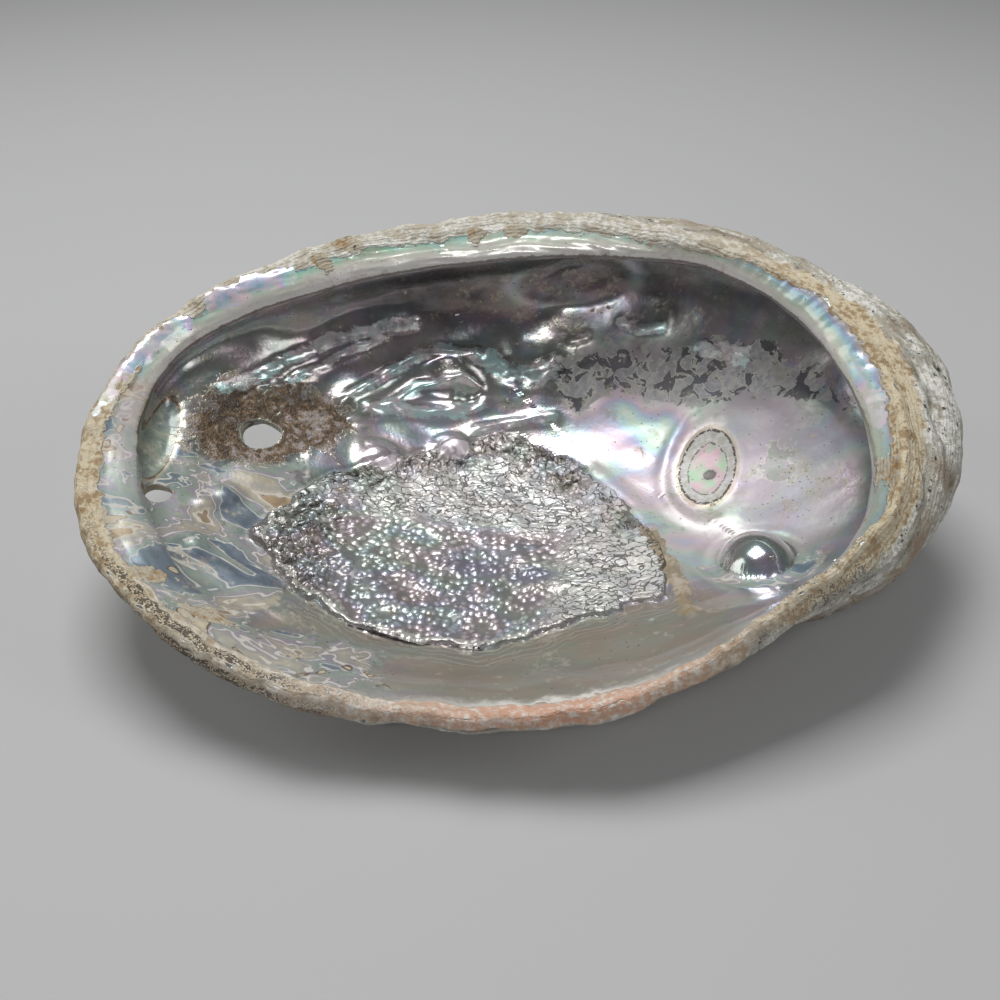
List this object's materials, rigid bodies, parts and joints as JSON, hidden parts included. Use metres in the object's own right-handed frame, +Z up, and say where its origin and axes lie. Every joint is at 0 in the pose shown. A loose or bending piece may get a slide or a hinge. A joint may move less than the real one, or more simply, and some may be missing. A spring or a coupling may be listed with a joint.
{
  "type": "abalone shell",
  "caption": "Large ear-shaped abalone shell lying on its back: deep pearly bowl with an inner ledge, a row of pores, a rough muscle scar, a low spire and a chalky outside.",
  "frame": {"origin": "middle of the shell's box, on the surface that it rests on", "axes": "+X towards the spire end, +Y towards the side with the inner ledge and the pores, +Z up, out of the hollow"},
  "size_m": [0.2163, 0.1603, 0.0667],
  "materials": {
    "nacre": "pearly inside, chalky outside"
  },
  "bodies": {
    "root": {"shell": "nacre"}
  },
  "joints": []
}
